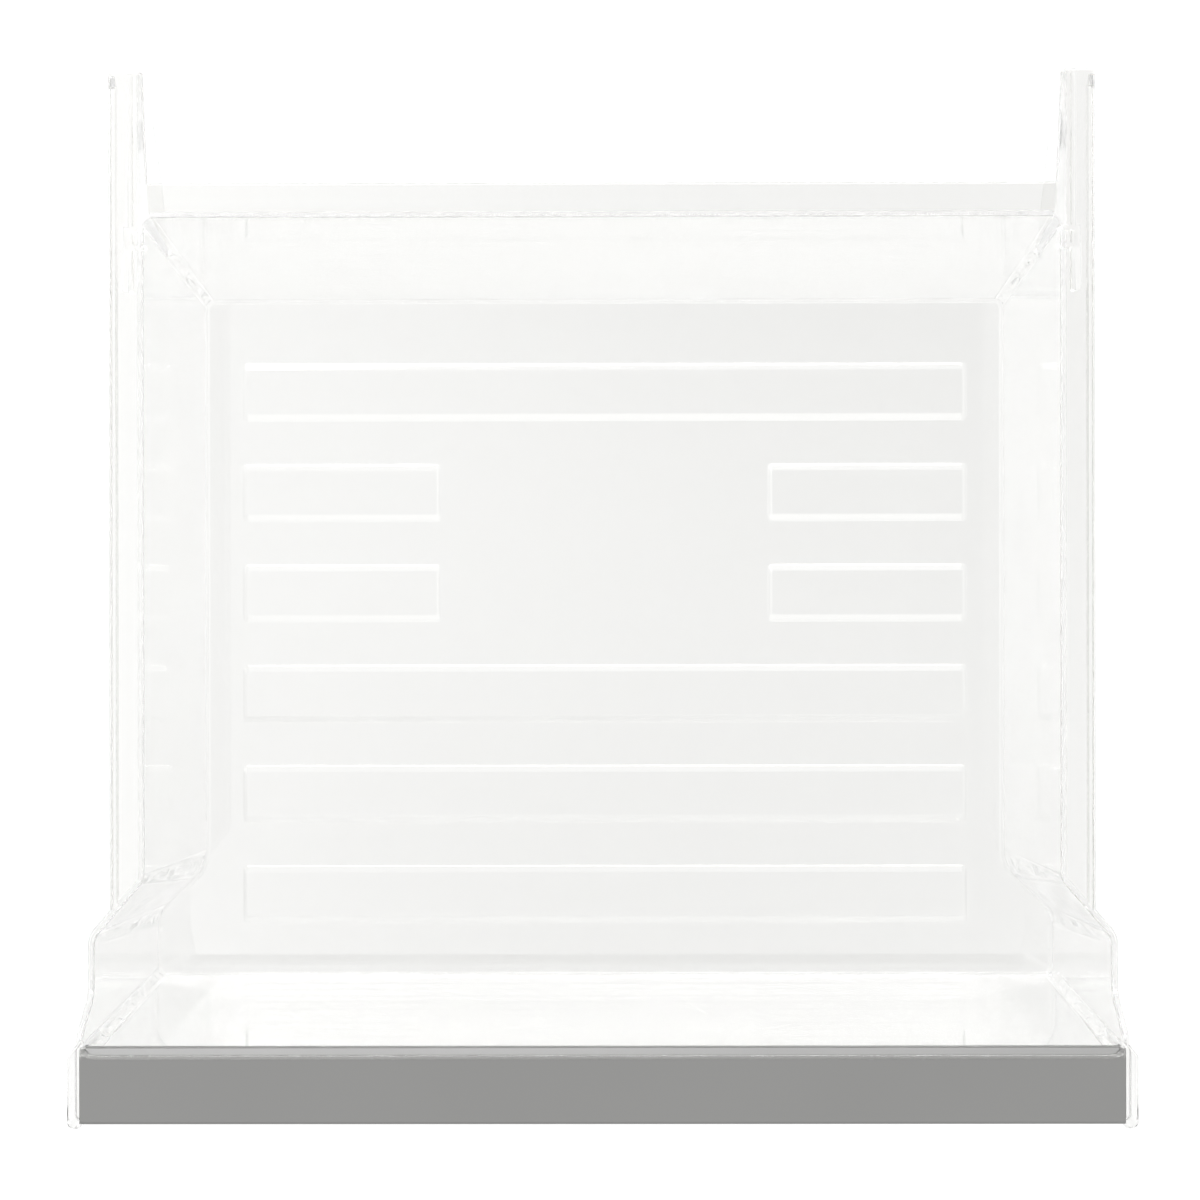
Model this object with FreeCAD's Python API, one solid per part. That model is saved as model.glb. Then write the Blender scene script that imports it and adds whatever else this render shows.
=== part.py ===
import FreeCAD, Part
import math
import os

# Clear refrigerator storage drawer with a grey clip-on front trim.
# Millimetres. +Z is up, the front faces -Y, and the origin is at the middle of the
# drawer's footprint, on the surface that its floor rests on.

Vector = FreeCAD.Vector

# Overall size
WIDTH = 400.0                # over the end plates of the front ledge
DEPTH = 398.6                # rear ends of the rails to the front of the end plates
HEIGHT = 185.0               # top of the front trim
RIM_Z = 160.0                # top of the side walls, rails and rear flange

# Moulding thickness
WALL = 2.6
FLOOR = 2.5

# Construction allowances
OVERLAP = 1.0                # how far one shape runs into the next before they are joined
NEAR = 0.01                  # tolerance when edges are picked by their place
PARALLEL = 0.99              # least cosine of an edge that counts as parallel to an axis

# Inside faces of the pan: (at the floor, at the rim). The walls lean by the difference.
REAR_HALF_WIDTH = (167.5, 174.1)
FRONT_HALF_WIDTH = (187.9, 193.1)
REAR_Y = (123.5, 143.4)
FLARE_START_Y = (-114.6, -108.6)
FLARE_END_Y = (-134.3, -130.3)
FRONT_Y = (-160.3, -170.2)
REAR_CORNER_RADIUS = (3.4, 3.8)
FLARE_START_RADIUS = (17.0, 6.0)
FLARE_END_RADIUS = (14.0, 8.0)
FRONT_CORNER_RADIUS = (3.4, 4.6)
INNER_FLOOR_ROUND = 1.6
OUTER_FLOOR_ROUND = 2.6

# Top edge of the sides, which climbs from the rim to the front ledge
CLIMB_START_Y = -151.5
CLIMB_END_Y = -164.5
CLIMB_FOOT_ROUND = 9.0
CLIMB_HEAD_ROUND = 3.4

# Relief bars on the floor: raised above, hollow below
BAR_COUNT = 6
BAR_FIRST_Y = 85.1
BAR_PITCH = 42.3
BAR_LENGTH_Y = 24.4
BAR_RISE = 1.0
BAR_SLOPE = 3.0              # width of the sloped border along the bar
BAR_END_SLOPE = 1.4          # the same at the short ends
BAR_CORNERS = (2.0, 1.0)     # corner radii in plan at the foot and at the head
BAR_ROUND = 0.8              # along the foot and the head of the borders, above and below
BAR_MARGIN = 3.0             # plain floor built together with each bar
BAR_OUTER_X = 152.3
BAR_GAP_X = 69.0             # the short bars start here, leaving the middle plain
SHORT_BAR_ROWS = (1, 2)

# Slide rails along both sides, which run on past the rear wall as ears
REAR_END_Y = DEPTH / 2
RAIL_OUTER_X = 187.3
RAIL_FRONT_Y = -135.0        # inside the flared wall, which trims it
RAIL_INNER_X = (172.0, 174.3)  # at the rear wall, at the rear end
LIP_THICKNESS = 2.3
LIP_DEPTH = 12.0
LIP_LEAD = 6.0               # length of the sloped lead-in at the rear end
LIP_LEAD_ROUND = 3.0
RAIL_END_ROUND = 2.0
EDGE_ROUND = 0.8

# Guide rib, hollow stop and ramp under the rear part of each rail
RIB_X = (178.6, 180.2)
RIB_DEPTH = 6.5
RIB_FRONT_Y = 115.4
STOP_Y = (131.5, 140.2)
STOP_DEPTH = 10.0
STOP_X = (175.0, 182.0)
STOP_WALL = 1.9
RAMP_X = (178.6, 182.2)
RAMP_DEPTH = (8.0, 3.0)      # at the stop, at the front end of the ramp

# Ear webs: upright triangles that carry the rail behind the rear wall. Their outer faces
# carry on from the leaning side walls.
EAR_FOOT = (151.0, 106.0)    # (y, z) where the lower edge reaches the rear wall
EAR_MIDDLE = (176.0, 125.0)
EAR_TIP = (REAR_END_Y, 156.0)
EAR_ROOT_DEPTH = 8.0         # how far the web reaches down inside the rear wall

# Flange along the rear wall
REAR_FLANGE_Y = 156.4

# Front ledge, its hanging lip and its end plates
FRONT_END_Y = -DEPTH / 2
END_PLATE_X = (195.4, WIDTH / 2)
END_PLATE_REAR_Y = -172.4
END_PLATE_ROUND = 2.4
TRIM_SET_BACK = 1.5          # the trim's front behind the front of the end plates
TRIM_THICKNESS = 2.4
LEDGE_BOTTOM_Z = 150.0       # bottom edge of the hanging lip

# Grey front trim, a channel that clips over the ledge
TRIM_REAR_Y = -169.1
TRIM_REAR_HOOK = 7.0         # height of the rear edge
TRIM_FOOT = 7.8              # depth of the return under the lip
TRIM_SHOULDER = (3.4, 1.6)   # rear shoulder: its width in plan, its drop
TRIM_SHOULDER_ROUND = 4.0    # where it meets the top
TRIM_REAR_ROUND = 1.0        # where it meets the rear edge
TRIM_FRONT_ROUND = 1.6
TRIM_END_ROUND = 0.5


def at_height(pair, z):
    """Value of a leaning face at height z, from its value at the floor and at the rim."""
    low, high = pair
    return low + (high - low) * (z - FLOOR) / (RIM_Z - FLOOR)


def box(x_range, y_range, z_range):
    """Axis-aligned block from three (low, high) pairs."""
    sizes = [high - low for low, high in (x_range, y_range, z_range)]
    return Part.makeBox(*sizes, Vector(x_range[0], y_range[0], z_range[0]))


def prism_up(points, z_range):
    """Upright prism over a polygon of (x, y) points."""
    loop = Part.makePolygon([Vector(x, y, z_range[0]) for x, y in points + points[:1]])
    return Part.Face(loop).extrude(Vector(0, 0, z_range[1] - z_range[0]))


def prism_across(points, x_range):
    """Prism along X over a polygon of (y, z) points."""
    loop = Part.makePolygon([Vector(x_range[0], y, z) for y, z in points + points[:1]])
    return Part.Face(loop).extrude(Vector(x_range[1] - x_range[0], 0, 0))


def prism_along(points, y_range):
    """Prism along Y over a polygon of (x, z) points."""
    loop = Part.makePolygon([Vector(x, y_range[0], z) for x, z in points + points[:1]])
    return Part.Face(loop).extrude(Vector(0, y_range[1] - y_range[0], 0))


def round_edges(solid, radius, wanted):
    """Solid with every straight edge rounded whose middle point and direction are wanted."""
    chosen = []
    for edge in solid.Edges:
        middle = edge.valueAt((edge.FirstParameter + edge.LastParameter) / 2)
        along = edge.tangentAt(edge.FirstParameter)
        if wanted(middle, along):
            chosen.append(edge)
    return solid.makeFillet(radius, chosen)


def both_sides(shape):
    """The shape and its mirror image on the other side of the drawer."""
    return [shape, shape.mirror(Vector(0, 0, 0), Vector(1, 0, 0))]


def rounded_loop(corners, z):
    """Closed wire at height z through (x, y, radius) corners, each one rounded."""
    points = [Vector(x, y, z) for x, y, radius in corners]
    arcs = []
    for i, point in enumerate(points):
        radius = corners[i][2]
        back = (points[i - 1] - point).normalize()
        ahead = (points[(i + 1) % len(points)] - point).normalize()
        half_angle = back.getAngle(ahead) / 2
        reach = radius / math.tan(half_angle)
        rise = radius / math.sin(half_angle) - radius
        middle = point + (back + ahead).normalize() * rise
        arcs.append((point + back * reach, middle, point + ahead * reach))
    edges = []
    for i, (start, middle, end) in enumerate(arcs):
        next_start = arcs[(i + 1) % len(arcs)][0]
        edges.append(Part.Arc(start, middle, end).toShape())
        edges.append(Part.LineSegment(end, next_start).toShape())
    return Part.Wire(edges)


def pan_loop(z, grow):
    """Plan outline of the pan at height z: its inside faces, grown outwards."""
    half_rear = at_height(REAR_HALF_WIDTH, z)
    half_front = at_height(FRONT_HALF_WIDTH, z)
    flare_start = at_height(FLARE_START_Y, z)
    flare_end = at_height(FLARE_END_Y, z)
    turn = math.atan2(half_front - half_rear, flare_start - flare_end)
    slip = grow * math.tan(turn / 2)
    right = [
        (half_rear + grow, at_height(REAR_Y, z) + grow, at_height(REAR_CORNER_RADIUS, z) + grow),
        (half_rear + grow, flare_start + slip, at_height(FLARE_START_RADIUS, z) - grow),
        (half_front + grow, flare_end + slip, at_height(FLARE_END_RADIUS, z) + grow),
        (half_front + grow, at_height(FRONT_Y, z) - grow, at_height(FRONT_CORNER_RADIUS, z) + grow),
    ]
    left = [(-x, y, radius) for x, y, radius in reversed(right)]
    return rounded_loop(right + left, z)


def pan_block(bottom_z, grow, floor_round):
    """Solid that fills the pan's outline from bottom_z to over the top, rounded at the bottom."""
    block = Part.makeLoft([pan_loop(bottom_z, grow), pan_loop(HEIGHT + OVERLAP, grow)], True, True)
    bottom = min(block.Faces, key=lambda face: face.CenterOfMass.z)
    return block.makeFillet(floor_round, bottom.Edges)


def above_the_sides():
    """Everything over the pan's top edge: level at the rim, then climbing to the ledge."""
    over = HEIGHT + 2 * OVERLAP
    foot = (CLIMB_START_Y, RIM_Z)
    head = (CLIMB_END_Y, HEIGHT)
    profile = prism_across(
        [(-DEPTH, over), (-DEPTH, HEIGHT), head, foot, (DEPTH, RIM_Z), (DEPTH, over)],
        (-WIDTH, WIDTH),
    )
    for (y, z), radius in ((foot, CLIMB_FOOT_ROUND), (head, CLIMB_HEAD_ROUND)):
        profile = round_edges(
            profile,
            radius,
            lambda middle, along: abs(middle.y - y) < NEAR and abs(middle.z - z) < NEAR,
        )
    return profile


def bar_relief(x_range, middle_y, base_z):
    """Low frustum of one relief bar, standing on base_z."""
    loops = []
    for z, inset, radius in ((base_z, 0.0, BAR_CORNERS[0]), (base_z + BAR_RISE, 1.0, BAR_CORNERS[1])):
        x_low = x_range[0] + inset * BAR_END_SLOPE
        x_high = x_range[1] - inset * BAR_END_SLOPE
        y_low = middle_y - BAR_LENGTH_Y / 2 + inset * BAR_SLOPE
        y_high = middle_y + BAR_LENGTH_Y / 2 - inset * BAR_SLOPE
        corners = [(x_low, y_low), (x_high, y_low), (x_high, y_high), (x_low, y_high)]
        loops.append(rounded_loop([(x, y, radius) for x, y in corners], z))
    return Part.makeLoft(loops, True, True)


def bar_plate(x_range, middle_y):
    """Plain piece of the floor around one relief bar."""
    reach_y = BAR_LENGTH_Y / 2 + BAR_MARGIN
    return box(
        (x_range[0] - BAR_MARGIN, x_range[1] + BAR_MARGIN),
        (middle_y - reach_y, middle_y + reach_y),
        (0.0, FLOOR),
    )


def bar_patch(x_range, middle_y):
    """The same piece of floor with its relief bar: raised above, hollow below, edges rounded."""
    patch = bar_plate(x_range, middle_y).fuse(bar_relief(x_range, middle_y, FLOOR))
    patch = patch.cut(bar_relief(x_range, middle_y, 0.0)).removeSplitter()
    levels = (0.0, BAR_RISE, FLOOR, FLOOR + BAR_RISE)
    creases = []
    for edge in patch.Edges:
        size = edge.BoundBox
        is_level = any(max(abs(size.ZMin - z), abs(size.ZMax - z)) < NEAR for z in levels)
        on_bar = abs(size.Center.y - middle_y) < BAR_LENGTH_Y / 2 + NEAR
        on_bar = on_bar and x_range[0] - NEAR < size.Center.x < x_range[1] + NEAR
        if is_level and on_bar:
            creases.append(edge)
    return patch.makeFillet(BAR_ROUND, creases)


def bar_places():
    """(x range, middle y) of every relief bar."""
    places = []
    for row in range(BAR_COUNT):
        middle_y = BAR_FIRST_Y - row * BAR_PITCH
        if row in SHORT_BAR_ROWS:
            places.append(((-BAR_OUTER_X, -BAR_GAP_X), middle_y))
            places.append(((BAR_GAP_X, BAR_OUTER_X), middle_y))
        else:
            places.append(((-BAR_OUTER_X, BAR_OUTER_X), middle_y))
    return places


def rail_plate():
    """Flat top of the right rail, from inside the flared wall to the rear end."""
    at_wall, at_end = RAIL_INNER_X
    plate = prism_up(
        [
            (at_wall, RAIL_FRONT_Y),
            (RAIL_OUTER_X, RAIL_FRONT_Y),
            (RAIL_OUTER_X, REAR_END_Y),
            (at_end, REAR_END_Y),
            (at_wall, REAR_Y[1]),
        ],
        (RIM_Z - WALL, RIM_Z),
    )
    return round_edges(
        plate,
        RAIL_END_ROUND,
        lambda middle, along: abs(along.z) > PARALLEL and middle.y > REAR_END_Y - OVERLAP,
    )


def rail_lip():
    """Lip that hangs from the outer edge of the right rail, with a lead-in at the rear."""
    bottom_z = RIM_Z - LIP_DEPTH
    lip = prism_across(
        [
            (RAIL_FRONT_Y, bottom_z),
            (REAR_END_Y - LIP_LEAD, bottom_z),
            (REAR_END_Y - RAIL_END_ROUND, RIM_Z - WALL - OVERLAP),
            (REAR_END_Y - RAIL_END_ROUND, RIM_Z),
            (RAIL_FRONT_Y, RIM_Z),
        ],
        (RAIL_OUTER_X - LIP_THICKNESS, RAIL_OUTER_X),
    )
    lip = round_edges(
        lip,
        LIP_LEAD_ROUND,
        lambda middle, along: abs(along.x) > PARALLEL
        and middle.z < bottom_z + NEAR
        and middle.y > REAR_END_Y - LIP_LEAD - NEAR,
    )
    return round_edges(
        lip,
        EDGE_ROUND,
        lambda middle, along: abs(along.x) < 1 - PARALLEL
        and middle.z < RIM_Z - WALL - OVERLAP
        and middle.y > RAIL_FRONT_Y + OVERLAP,
    )


def rail_guides():
    """Guide rib, hollow stop and ramp under the rear part of the right rail."""
    under = RIM_Z - WALL / 2
    rib = box(RIB_X, (RIB_FRONT_Y, REAR_END_Y - OVERLAP), (RIM_Z - WALL - RIB_DEPTH, under))
    stop = box(STOP_X, STOP_Y, (RIM_Z - STOP_DEPTH, under))
    inside_y = (STOP_Y[0] + STOP_WALL, STOP_Y[1] - STOP_WALL)
    inside_z = (RIM_Z - STOP_DEPTH - OVERLAP, RIM_Z - WALL)
    stop = stop.cut(box((STOP_X[0], STOP_X[1] - STOP_WALL), inside_y, inside_z))
    deep, shallow = RAMP_DEPTH
    ramp = prism_across(
        [
            (RIB_FRONT_Y, RIM_Z - WALL - shallow),
            (STOP_Y[0] + OVERLAP, RIM_Z - WALL - deep),
            (STOP_Y[0] + OVERLAP, under),
            (RIB_FRONT_Y, under),
        ],
        RAMP_X,
    )
    return [rib, stop, ramp]


def ear_web():
    """Upright web under the right rail behind the rear wall, with a curved lower edge."""
    at_wall, at_end = RAIL_INNER_X
    rear_end = REAR_END_Y - OVERLAP
    top_z = RIM_Z - WALL / 2
    plan = prism_up(
        [
            (at_wall, REAR_Y[0]),
            (RAIL_OUTER_X, REAR_Y[0]),
            (RAIL_OUTER_X, rear_end),
            (at_end, rear_end),
            (at_wall, REAR_Y[1]),
        ],
        (0, top_z),
    )
    lean = prism_along(
        [
            (0, 0),
            (at_height(REAR_HALF_WIDTH, 0) + WALL, 0),
            (at_height(REAR_HALF_WIDTH, top_z) + WALL, top_z),
            (0, top_z),
        ],
        (REAR_Y[0], rear_end),
    )
    foot, middle, tip = [Vector(0, y, z) for y, z in (EAR_FOOT, EAR_MIDDLE, EAR_TIP)]
    wall_foot = Vector(0, REAR_Y[0], EAR_FOOT[1] - EAR_ROOT_DEPTH)
    wall_top = Vector(0, REAR_Y[0], RIM_Z)
    tip_top = Vector(0, EAR_TIP[0], RIM_Z)
    side = Part.Wire(
        [
            Part.Arc(foot, middle, tip).toShape(),
            Part.LineSegment(tip, tip_top).toShape(),
            Part.LineSegment(tip_top, wall_top).toShape(),
            Part.LineSegment(wall_top, wall_foot).toShape(),
            Part.LineSegment(wall_foot, foot).toShape(),
        ]
    )
    return plan.common(lean).common(Part.Face(side).extrude(Vector(WIDTH / 2, 0, 0)))


def rear_flange():
    """Level flange along the top of the rear wall, between the ears."""
    reach = RAIL_INNER_X[0] + OVERLAP
    flange = box((-reach, reach), (REAR_Y[0], REAR_FLANGE_Y), (RIM_Z - WALL, RIM_Z))
    return round_edges(
        flange,
        EDGE_ROUND,
        lambda middle, along: abs(along.x) > PARALLEL and middle.y > REAR_FLANGE_Y - NEAR,
    )


def front_ledge():
    """Level ledge in front of the front wall, with the lip that hangs from its front edge."""
    top_z = HEIGHT - TRIM_THICKNESS
    lip_front = FRONT_END_Y + TRIM_SET_BACK + TRIM_THICKNESS
    across = (-END_PLATE_X[0] - OVERLAP, END_PLATE_X[0] + OVERLAP)
    ledge = box(across, (lip_front, at_height(FRONT_Y, top_z) - WALL / 2), (top_z - WALL, top_z))
    lip = box(across, (lip_front, lip_front + WALL), (LEDGE_BOTTOM_Z, top_z))
    return [ledge, lip]


def end_plate():
    """Thick upright plate that closes the right end of the ledge and grows out of the side wall."""
    inner, outer = END_PLATE_X
    in_the_wall = at_height(FRONT_HALF_WIDTH, RIM_Z) + WALL / 2
    plate = prism_up(
        [
            (inner, FRONT_END_Y),
            (outer, FRONT_END_Y),
            (outer, END_PLATE_REAR_Y),
            (in_the_wall, CLIMB_END_Y - OVERLAP),
        ],
        (LEDGE_BOTTOM_Z - TRIM_THICKNESS, HEIGHT),
    )
    plate = round_edges(
        plate,
        END_PLATE_ROUND,
        lambda middle, along: abs(along.z) > PARALLEL and middle.x > outer - NEAR,
    )
    return round_edges(
        plate,
        EDGE_ROUND,
        lambda middle, along: abs(along.z) < 1 - PARALLEL and middle.x > inner,
    )


def trim_channel():
    """Section of the grey trim, end to end: top, rounded rear edge, front and foot."""
    front = FRONT_END_Y + TRIM_SET_BACK
    bottom = LEDGE_BOTTOM_Z - TRIM_THICKNESS
    thick = TRIM_THICKNESS
    half_length = END_PLATE_X[0]
    shoulder_width, shoulder_drop = TRIM_SHOULDER
    channel = prism_across(
        [
            (TRIM_REAR_Y, HEIGHT - TRIM_REAR_HOOK),
            (TRIM_REAR_Y, HEIGHT - shoulder_drop),
            (TRIM_REAR_Y - shoulder_width, HEIGHT),
            (front, HEIGHT),
            (front, bottom),
            (front + TRIM_FOOT, bottom),
            (front + TRIM_FOOT, bottom + thick),
            (front + thick, bottom + thick),
            (front + thick, HEIGHT - thick),
            (TRIM_REAR_Y - thick, HEIGHT - thick),
            (TRIM_REAR_Y - thick, HEIGHT - TRIM_REAR_HOOK),
        ],
        (-half_length, half_length),
    )
    channel = round_edges(
        channel,
        TRIM_SHOULDER_ROUND,
        lambda middle, along: abs(along.x) > PARALLEL
        and middle.z > HEIGHT - NEAR
        and middle.y > TRIM_REAR_Y - shoulder_width - NEAR,
    )
    channel = round_edges(
        channel,
        TRIM_REAR_ROUND,
        lambda middle, along: abs(along.x) > PARALLEL
        and middle.z > HEIGHT - shoulder_drop - NEAR
        and middle.y > TRIM_REAR_Y - NEAR,
    )
    return round_edges(
        channel,
        TRIM_FRONT_ROUND,
        lambda middle, along: abs(along.x) > PARALLEL and middle.y < front + NEAR,
    )


def front_trim():
    """The grey trim, with the outside edges of its two ends softened."""
    front = FRONT_END_Y + TRIM_SET_BACK
    return round_edges(
        trim_channel(),
        TRIM_END_ROUND,
        lambda middle, along: abs(middle.x) > END_PLATE_X[0] - NEAR
        and (
            middle.z > HEIGHT - TRIM_SHOULDER[1] - TRIM_REAR_ROUND
            or middle.y > TRIM_REAR_Y - NEAR
            or middle.y < front + TRIM_FRONT_ROUND
        ),
    )


def round_top_edges(pan):
    """Softens every edge round the open top, leaving out the seams between flush faces."""
    chosen = []
    for edge in pan.Edges:
        on_top = all(vertex.Z > RIM_Z - NEAR for vertex in edge.Vertexes)
        across = abs(edge.tangentAt(edge.FirstParameter).x) > PARALLEL
        is_seam = across and edge.Length < WALL + 10 * NEAR
        if on_top and not is_seam:
            chosen.append(edge)
    return pan.makeFillet(EDGE_ROUND, chosen)


def clear_pan():
    """The whole clear moulding, with the seat of the trim cut out of it."""
    cavity = pan_block(FLOOR, 0.0, INNER_FLOOR_ROUND)
    shell = pan_block(0.0, WALL, OUTER_FLOOR_ROUND).cut(above_the_sides())
    rails = both_sides(rail_plate()) + both_sides(rail_lip()) + both_sides(ear_web())
    for guide in rail_guides():
        rails += both_sides(guide)
    pan = shell.fuse(rails + [rear_flange()]).cut(cavity).removeSplitter()
    pan = round_top_edges(pan)
    pan = pan.fuse(front_ledge() + both_sides(end_plate())).cut(trim_channel())
    for x_range, middle_y in bar_places():
        pan = pan.cut(bar_plate(x_range, middle_y)).fuse(bar_patch(x_range, middle_y))
    return pan.removeSplitter()


def main():
    os.makedirs("parts", exist_ok=True)
    pieces = {"clear_pan": clear_pan(), "front_trim": front_trim()}
    for name, shape in pieces.items():
        solid = shape.Solids[0]
        size = solid.BoundBox
        print(name, len(shape.Solids), "solid, valid:", solid.isValid(), "volume:", round(solid.Volume))
        print("   size:", round(size.XLength, 2), round(size.YLength, 2), round(size.ZLength, 2))
        solid.exportStep("parts/" + name + ".step")


main()
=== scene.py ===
import math

import bpy
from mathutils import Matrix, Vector

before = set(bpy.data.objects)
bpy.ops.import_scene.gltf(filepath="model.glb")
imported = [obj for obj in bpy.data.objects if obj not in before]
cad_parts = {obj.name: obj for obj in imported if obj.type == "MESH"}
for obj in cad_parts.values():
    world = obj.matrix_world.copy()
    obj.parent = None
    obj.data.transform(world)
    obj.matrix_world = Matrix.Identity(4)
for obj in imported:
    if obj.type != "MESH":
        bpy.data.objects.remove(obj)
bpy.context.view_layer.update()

MM = 0.001

# Camera: almost straight down, over the drawer, as a fitted long lens sees it.
CAMERA_AT = Vector((10.1, 2.3, 1600.0)) * MM
CAMERA_TURN = (-0.00305, 0.0075, -0.00158)
LENS_MM = 113.8
SENSOR_MM = 36.0
CLIP_END = 50.0

# The darker top of the sky leans to the rear and to the right, radians.
SKY_TILT = (0.09, -0.08, 0.0)
# Brightness of the sky against the angle from its top, as a share of a right angle.
SKY = [
    (0.0, 0.1),
    (0.05, 0.25),
    (0.09, 0.5),
    (0.18, 1.0),
    (0.5, 1.0),
    (0.68, 0.65),
    (0.9, 0.6),
    (1.0, 0.4),
]
SKY_STRENGTH = 1.64
# Soft boxes: place, size across and upright, power in watts.
KEY_BOX = ((-1.9, 0.8, 1.9), (1.2, 1.2), 8.0)
REAR_BOX = ((-0.3, 2.1, 1.75), (2.4, 0.8), 62.0)
# Edge of the studio floor, and how far it lies under the drawer, metres.
FLOOR_SIZE = 8.0
FLOOR_DROP = 0.0002
FLOOR_GREY = (0.78, 0.78, 0.78, 1)

CLEAR_TINT = (0.872, 0.872, 0.858, 1)
CLEAR_IOR = 1.58
CLEAR_ROUGHNESS = (0.015, 0.06)
# What clear plastic lets through to the floor, from face-on to edge-on.
CLEAR_SHADE = [(0.0, 0.99), (0.6, 0.98), (1.0, 0.85)]
# Share of the light caught inside the walls that gets out at each turn.
LEAK = 0.45
TRIM_DARK = (0.14, 0.14, 0.1355, 1)
TRIM_LIGHT = (0.151, 0.151, 0.146, 1)
TRIM_ROUGHNESS = (0.34, 0.42)

# Light bounces, enough for a ray to cross several clear walls.
ALL_BOUNCES = 16
GLOSSY_BOUNCES = 12
TRANSPARENT_BOUNCES = 32


def tree_of(name):
    """A new node material with an empty tree: its material, nodes and links."""
    material = bpy.data.materials.new(name)
    material.use_nodes = True
    tree = material.node_tree
    tree.nodes.clear()
    return material, tree.nodes, tree.links


def add(nodes, kind, **settings):
    """Adds a node, and sets its properties or, for names that are sockets, its inputs."""
    node = nodes.new(kind)
    for key, value in settings.items():
        if hasattr(node, key):
            setattr(node, key, value)
        else:
            node.inputs[key.replace("_", " ")].default_value = value
    return node


def ramp(nodes, stops):
    """A colour ramp through (position, grey) stops."""
    node = nodes.new("ShaderNodeValToRGB")
    elements = node.color_ramp.elements
    while len(elements) < len(stops):
        elements.new(0.5)
    for element, (position, grey) in zip(elements, stops):
        element.position = position
        element.color = (grey, grey, grey, 1)
    return node


def clear_plastic():
    """Water-clear polystyrene: polished, with slow moulding waviness and hazy flow marks."""
    material, nodes, links = tree_of("clear_polystyrene")
    place = add(nodes, "ShaderNodeTexCoord")
    waves = add(nodes, "ShaderNodeTexNoise", Scale=9.0, Detail=2.0, Roughness=0.5)
    haze = add(nodes, "ShaderNodeTexNoise", Scale=28.0, Detail=5.0, Roughness=0.6)
    links.new(place.outputs["Object"], waves.inputs["Vector"])
    links.new(place.outputs["Object"], haze.inputs["Vector"])
    rough = ramp(nodes, [(0.35, CLEAR_ROUGHNESS[0]), (0.75, CLEAR_ROUGHNESS[1])])
    links.new(haze.outputs["Fac"], rough.inputs["Fac"])
    bump = add(nodes, "ShaderNodeBump", Strength=0.02, Distance=0.002)
    links.new(waves.outputs["Fac"], bump.inputs["Height"])
    glass = add(
        nodes,
        "ShaderNodeBsdfPrincipled",
        Base_Color=CLEAR_TINT,
        IOR=CLEAR_IOR,
        Transmission_Weight=1.0,
    )
    links.new(rough.outputs["Color"], glass.inputs["Roughness"])
    links.new(bump.outputs["Normal"], glass.inputs["Normal"])
    edge = add(nodes, "ShaderNodeLayerWeight", Blend=0.35)
    shade = ramp(nodes, CLEAR_SHADE)
    links.new(edge.outputs["Facing"], shade.inputs["Fac"])
    path = add(nodes, "ShaderNodeLightPath")
    leak = add(nodes, "ShaderNodeMixShader")
    leak.inputs[0].default_value = LEAK
    straight = add(nodes, "ShaderNodeBsdfTransparent")
    links.new(glass.outputs[0], leak.inputs[1])
    links.new(straight.outputs[0], leak.inputs[2])
    guided = add(nodes, "ShaderNodeMixShader")
    links.new(path.outputs["Is Reflection Ray"], guided.inputs[0])
    links.new(glass.outputs[0], guided.inputs[1])
    links.new(leak.outputs[0], guided.inputs[2])
    result = guided.outputs[0]
    for ray in ("Is Diffuse Ray", "Is Shadow Ray"):
        passing = add(nodes, "ShaderNodeBsdfTransparent")
        links.new(shade.outputs["Color"], passing.inputs["Color"])
        mix = add(nodes, "ShaderNodeMixShader")
        links.new(path.outputs[ray], mix.inputs[0])
        links.new(result, mix.inputs[1])
        links.new(passing.outputs[0], mix.inputs[2])
        result = mix.outputs[0]
    output = add(nodes, "ShaderNodeOutputMaterial")
    links.new(result, output.inputs["Surface"])
    return material


def grey_plastic():
    """Satin mid-grey plastic with a very fine spark-eroded grain."""
    material, nodes, links = tree_of("grey_satin_plastic")
    place = add(nodes, "ShaderNodeTexCoord")
    grain = add(nodes, "ShaderNodeTexNoise", Scale=2600.0, Detail=2.0, Roughness=0.6)
    cloud = add(nodes, "ShaderNodeTexNoise", Scale=14.0, Detail=3.0, Roughness=0.5)
    for texture in (grain, cloud):
        links.new(place.outputs["Object"], texture.inputs["Vector"])
    colour = add(nodes, "ShaderNodeValToRGB")
    colour.color_ramp.elements[0].color = TRIM_DARK
    colour.color_ramp.elements[1].color = TRIM_LIGHT
    links.new(cloud.outputs["Fac"], colour.inputs["Fac"])
    rough = ramp(nodes, [(0.3, TRIM_ROUGHNESS[0]), (0.7, TRIM_ROUGHNESS[1])])
    links.new(cloud.outputs["Fac"], rough.inputs["Fac"])
    bump = add(nodes, "ShaderNodeBump", Strength=0.12, Distance=0.0001)
    links.new(grain.outputs["Fac"], bump.inputs["Height"])
    shader = add(nodes, "ShaderNodeBsdfPrincipled", IOR=1.5, Specular_IOR_Level=1.0)
    links.new(colour.outputs["Color"], shader.inputs["Base Color"])
    links.new(rough.outputs["Color"], shader.inputs["Roughness"])
    links.new(bump.outputs["Normal"], shader.inputs["Normal"])
    output = add(nodes, "ShaderNodeOutputMaterial")
    links.new(shader.outputs[0], output.inputs["Surface"])
    return material


def floor_paint():
    """Plain white studio floor."""
    material, nodes, links = tree_of("studio_floor")
    shader = add(nodes, "ShaderNodeBsdfPrincipled", Base_Color=FLOOR_GREY, Roughness=0.9)
    output = add(nodes, "ShaderNodeOutputMaterial")
    links.new(shader.outputs[0], output.inputs["Surface"])
    return material


def set_material(node_name, material):
    """Gives a CAD node's object one material in each of its slots."""
    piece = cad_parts[node_name]
    for slot in piece.material_slots:
        slot.material = material


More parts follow.
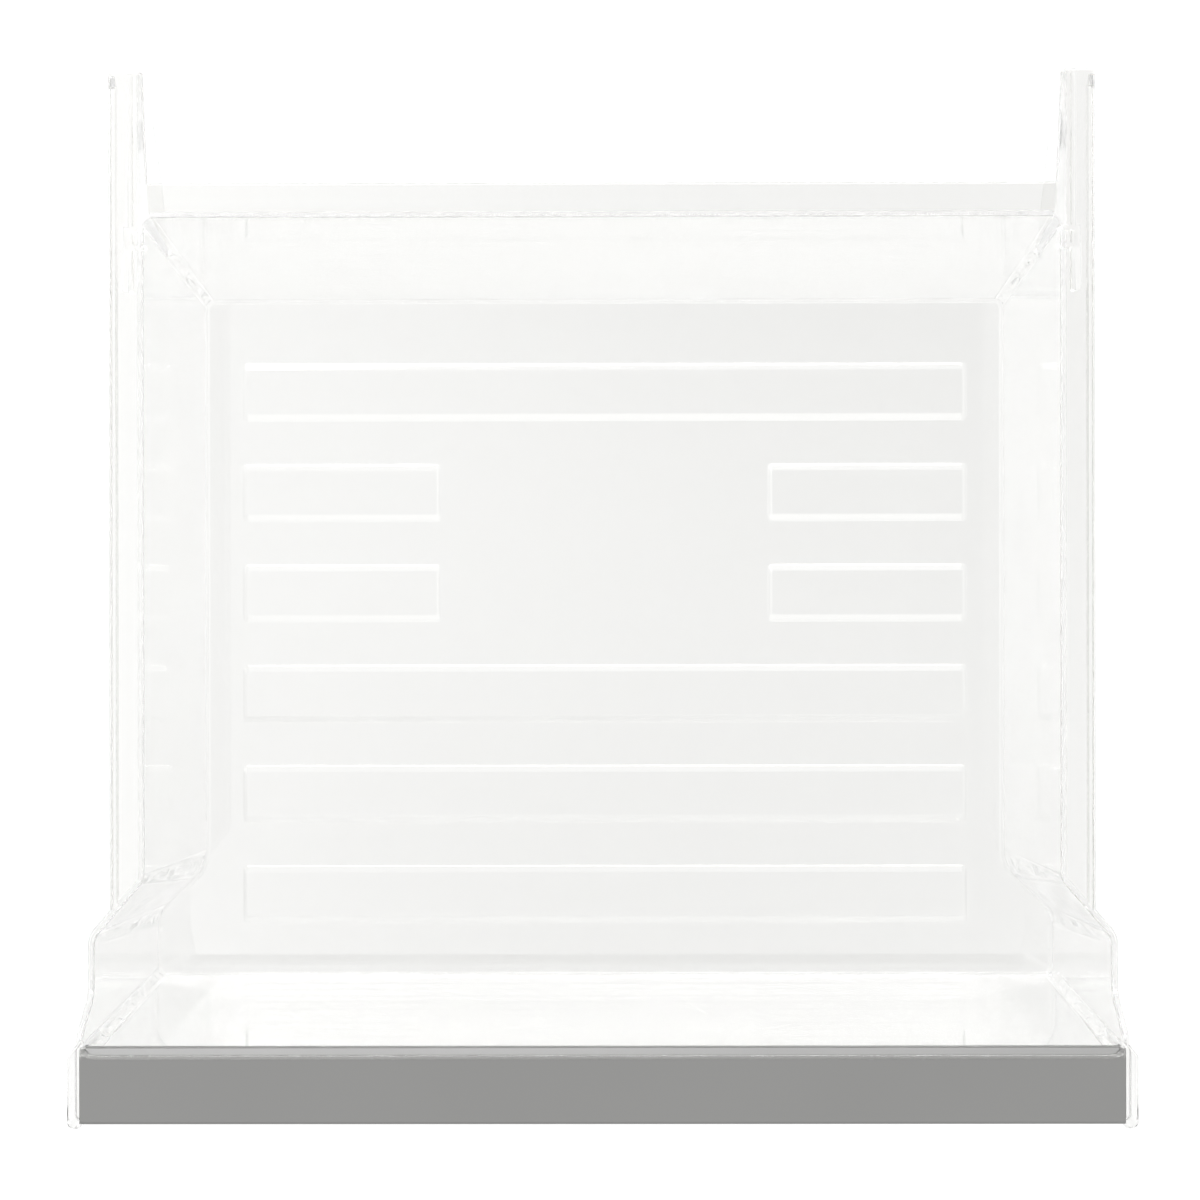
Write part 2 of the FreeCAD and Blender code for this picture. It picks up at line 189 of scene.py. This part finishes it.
def studio_floor():
    """Large flat floor just under the drawer."""
    bpy.ops.mesh.primitive_plane_add(size=FLOOR_SIZE, location=(0, 0, -FLOOR_DROP))
    floor = bpy.context.object
    floor.name = "studio_floor"
    floor.data.materials.append(floor_paint())


def area_light(name, place, size, power, diffuse=True):
    """Soft box of size (across, upright), aimed at the drawer."""
    light = bpy.data.lights.new(name, "AREA")
    light.shape = "RECTANGLE"
    light.size, light.size_y = size
    light.energy = power
    lamp = bpy.data.objects.new(name, light)
    lamp.location = place
    lamp.rotation_euler = (-Vector(place)).to_track_quat("-Z", "Y").to_euler()
    lamp.visible_diffuse = diffuse
    bpy.context.scene.collection.objects.link(lamp)


def studio_light():
    """Soft white surround with a darker top, and two soft boxes."""
    world = bpy.data.worlds.new("studio")
    bpy.context.scene.world = world
    world.use_nodes = True
    nodes, links = world.node_tree.nodes, world.node_tree.links
    nodes.clear()
    place = add(nodes, "ShaderNodeTexCoord")
    tilt = add(nodes, "ShaderNodeMapping")
    tilt.inputs["Rotation"].default_value = SKY_TILT
    split = add(nodes, "ShaderNodeSeparateXYZ")
    links.new(place.outputs["Generated"], tilt.inputs["Vector"])
    links.new(tilt.outputs["Vector"], split.inputs[0])
    from_top = add(nodes, "ShaderNodeMath", operation="ARCCOSINE")
    links.new(split.outputs["Z"], from_top.inputs[0])
    share = add(nodes, "ShaderNodeMath", operation="DIVIDE")
    share.inputs[1].default_value = math.pi / 2
    links.new(from_top.outputs[0], share.inputs[0])
    sky = ramp(nodes, SKY)
    links.new(share.outputs[0], sky.inputs["Fac"])
    background = add(nodes, "ShaderNodeBackground", Strength=SKY_STRENGTH)
    links.new(sky.outputs["Color"], background.inputs["Color"])
    output = add(nodes, "ShaderNodeOutputWorld")
    links.new(background.outputs[0], output.inputs["Surface"])
    area_light("key_box", *KEY_BOX)
    # The rear box shows in reflections only, so it leaves the floor evenly lit.
    area_light("rear_box", *REAR_BOX, diffuse=False)


def camera():
    """The camera over the drawer, looking down with the rear at the top of the picture."""
    data = bpy.data.cameras.new("camera")
    data.lens = LENS_MM
    data.sensor_width = SENSOR_MM
    data.clip_end = CLIP_END
    body = bpy.data.objects.new("camera", data)
    body.location = CAMERA_AT
    body.rotation_euler = CAMERA_TURN
    bpy.context.scene.collection.objects.link(body)
    bpy.context.scene.camera = body


def light_paths():
    """Plain picture tones, and bounce counts deep enough for clear walls."""
    bpy.context.scene.view_settings.view_transform = "Standard"
    settings = bpy.context.scene.cycles
    settings.max_bounces = ALL_BOUNCES
    settings.glossy_bounces = GLOSSY_BOUNCES
    settings.transmission_bounces = ALL_BOUNCES
    settings.transparent_max_bounces = TRANSPARENT_BOUNCES


set_material("clear_pan", clear_plastic())
set_material("front_trim", grey_plastic())
studio_floor()
studio_light()
camera()
light_paths()
